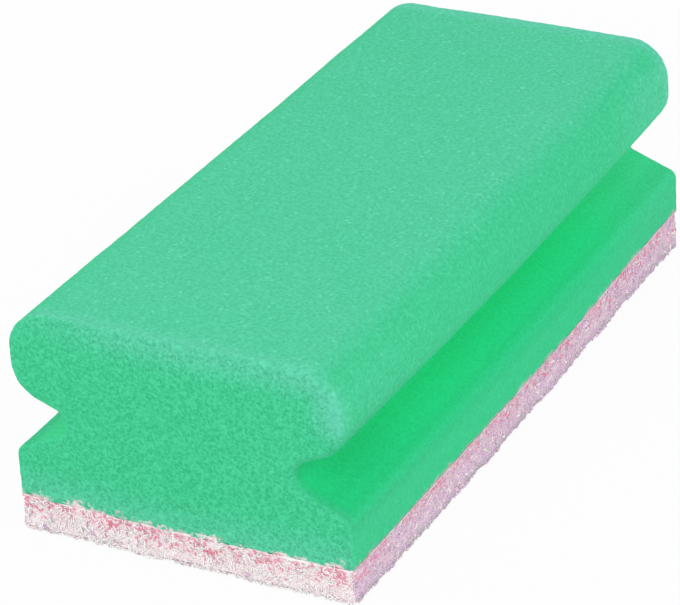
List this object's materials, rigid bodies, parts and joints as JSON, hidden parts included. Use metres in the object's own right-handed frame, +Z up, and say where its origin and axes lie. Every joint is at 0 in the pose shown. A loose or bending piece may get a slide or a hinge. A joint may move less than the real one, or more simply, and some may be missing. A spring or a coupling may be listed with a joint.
{
  "type": "cleaning sponge",
  "caption": "Hand-grip cleaning sponge: a foam block with a finger groove along each long side, glued to a flat pad of matted fibre for scouring.",
  "frame": {"origin": "middle of the pad's underside, which the sponge rests on", "axes": "+X across the sponge, +Y along its length, +Z up from the pad to the foam's flat top"},
  "size_m": [0.07, 0.15, 0.0473],
  "materials": {
    "foam": "matte",
    "glue": "matte",
    "fibre": "matte"
  },
  "bodies": {
    "root": {"foam_body": "foam", "glue_film": "glue", "scouring_pad": "fibre"}
  },
  "joints": []
}
